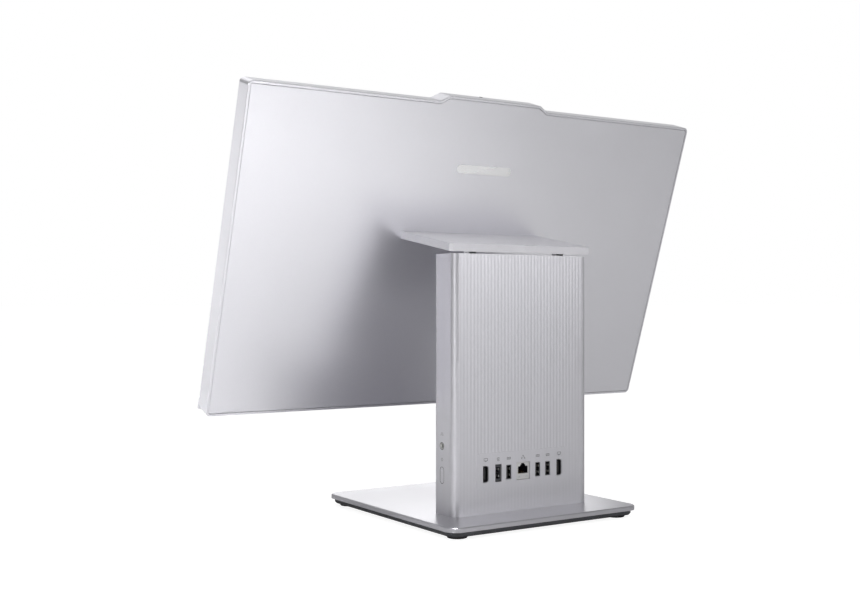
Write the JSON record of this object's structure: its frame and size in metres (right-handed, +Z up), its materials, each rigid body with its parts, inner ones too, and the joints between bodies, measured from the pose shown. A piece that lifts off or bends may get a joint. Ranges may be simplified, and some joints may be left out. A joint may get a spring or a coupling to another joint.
{
  "type": "all in one computer",
  "caption": "Desktop computer in one piece: a thin display tilting on a fluted column with rear sockets, a side button and audio jack, and a flat base.",
  "frame": {"origin": "centre of the base's footprint, on the desk under the rubber feet", "axes": "+Z up, -Y the way the screen faces, +X the side with the power button and audio jack"},
  "size_m": [0.541, 0.236, 0.4235],
  "materials": {
    "display_silver": "satin silver paint over moulded plastic",
    "column_silver": "fluted, silver anodised",
    "base_silver": "satin silver",
    "dark_plastic": "fine moulded grain",
    "foot_rubber": "matt",
    "steel": "zinc plated",
    "socket_metal": "plated shells",
    "circuit_board": "solder mask",
    "chip_black": "moulded package",
    "standoff_brass": "turned",
    "copper": "bare copper",
    "fin_aluminium": "bare",
    "cable_white": "flat ribbon",
    "badge_metal": "polished",
    "bezel_black": "matt black",
    "screen_glass": "anti-glare display face, switched off",
    "light_guide": "clear acrylic with white print"
  },
  "bodies": {
    "stand": {"base_plate": "base_silver", "base_undertray": "dark_plastic", "ballast_plate": "steel", "rubber_feet": "foot_rubber", "base_screws": "steel", "column_screws": "steel", "column_rear_shell": "column_silver", "column_front_panel": "column_silver", "column_top_cap": "dark_plastic", "column_chassis": "steel", "motherboard": "circuit_board", "board_standoffs": "standoff_brass", "chassis_screws": "steel", "processor": "chip_black", "heat_plate": "copper", "heat_pipes": "copper", "heat_fins": "fin_aluminium", "fan_housing": "dark_plastic", "fan_cover": "dark_plastic", "fan_stator": "steel", "memory_module": "circuit_board", "storage_drive": "circuit_board", "wireless_card": "circuit_board", "card_slots": "dark_plastic", "clock_battery": "steel", "dc_inlet": "dark_plastic", "network_socket": "socket_metal", "audio_jack": "socket_metal", "button_board": "circuit_board", "board_cable": "cable_white", "hinge_bracket": "steel", "hinge_pins": "steel", "hinge_nuts": "steel", "friction_washers": "steel", "data_socket_1": "socket_metal", "data_socket_2": "socket_metal", "data_socket_3": "socket_metal", "video_socket_a": "socket_metal", "video_socket_b": "socket_metal"},
    "display": {"display_frame": "display_silver", "rear_cover": "display_silver", "badge_inlay": "badge_metal", "panel_pan": "steel", "backlight": "light_guide", "lcd_panel": "screen_glass", "screen_bezel": "bezel_black", "chin_bar": "display_silver", "driver_board": "circuit_board", "panel_cable": "cable_white", "speakers": "dark_plastic", "microphones": "dark_plastic", "camera_module": "dark_plastic", "antennas": "cable_white", "tray_top_cover": "display_silver", "tray_under_cover": "dark_plastic", "tilt_bracket": "steel", "flange_screws": "steel"},
    "power_button": {"power_button": "column_silver"},
    "camera_shutter": {"camera_shutter": "dark_plastic"},
    "fan_rotor": {"fan_rotor": "dark_plastic"}
  },
  "joints": [
    {"name": "display_tilt", "type": "hinge", "parent": "stand", "child": "display", "pos_m": [0, 0.058, 0.252], "axis": [-1, 0, 0], "range_deg": [-23, 2]},
    {"name": "power_press", "type": "slide", "parent": "stand", "child": "power_button", "axis": [-1, 0, 0], "range_m": [0, 0.0008], "stiffness_N_per_m": 1500, "springref_m": -0.0006},
    {"name": "shutter_slide", "type": "slide", "parent": "display", "child": "camera_shutter", "axis": [-1, 0, 0], "range_m": [0, 0.007]},
    {"name": "fan_spin", "type": "hinge", "parent": "stand", "child": "fan_rotor", "pos_m": [-0.04, 0.059, 0.184], "axis": [0, 1, 0], "continuous": true}
  ]
}
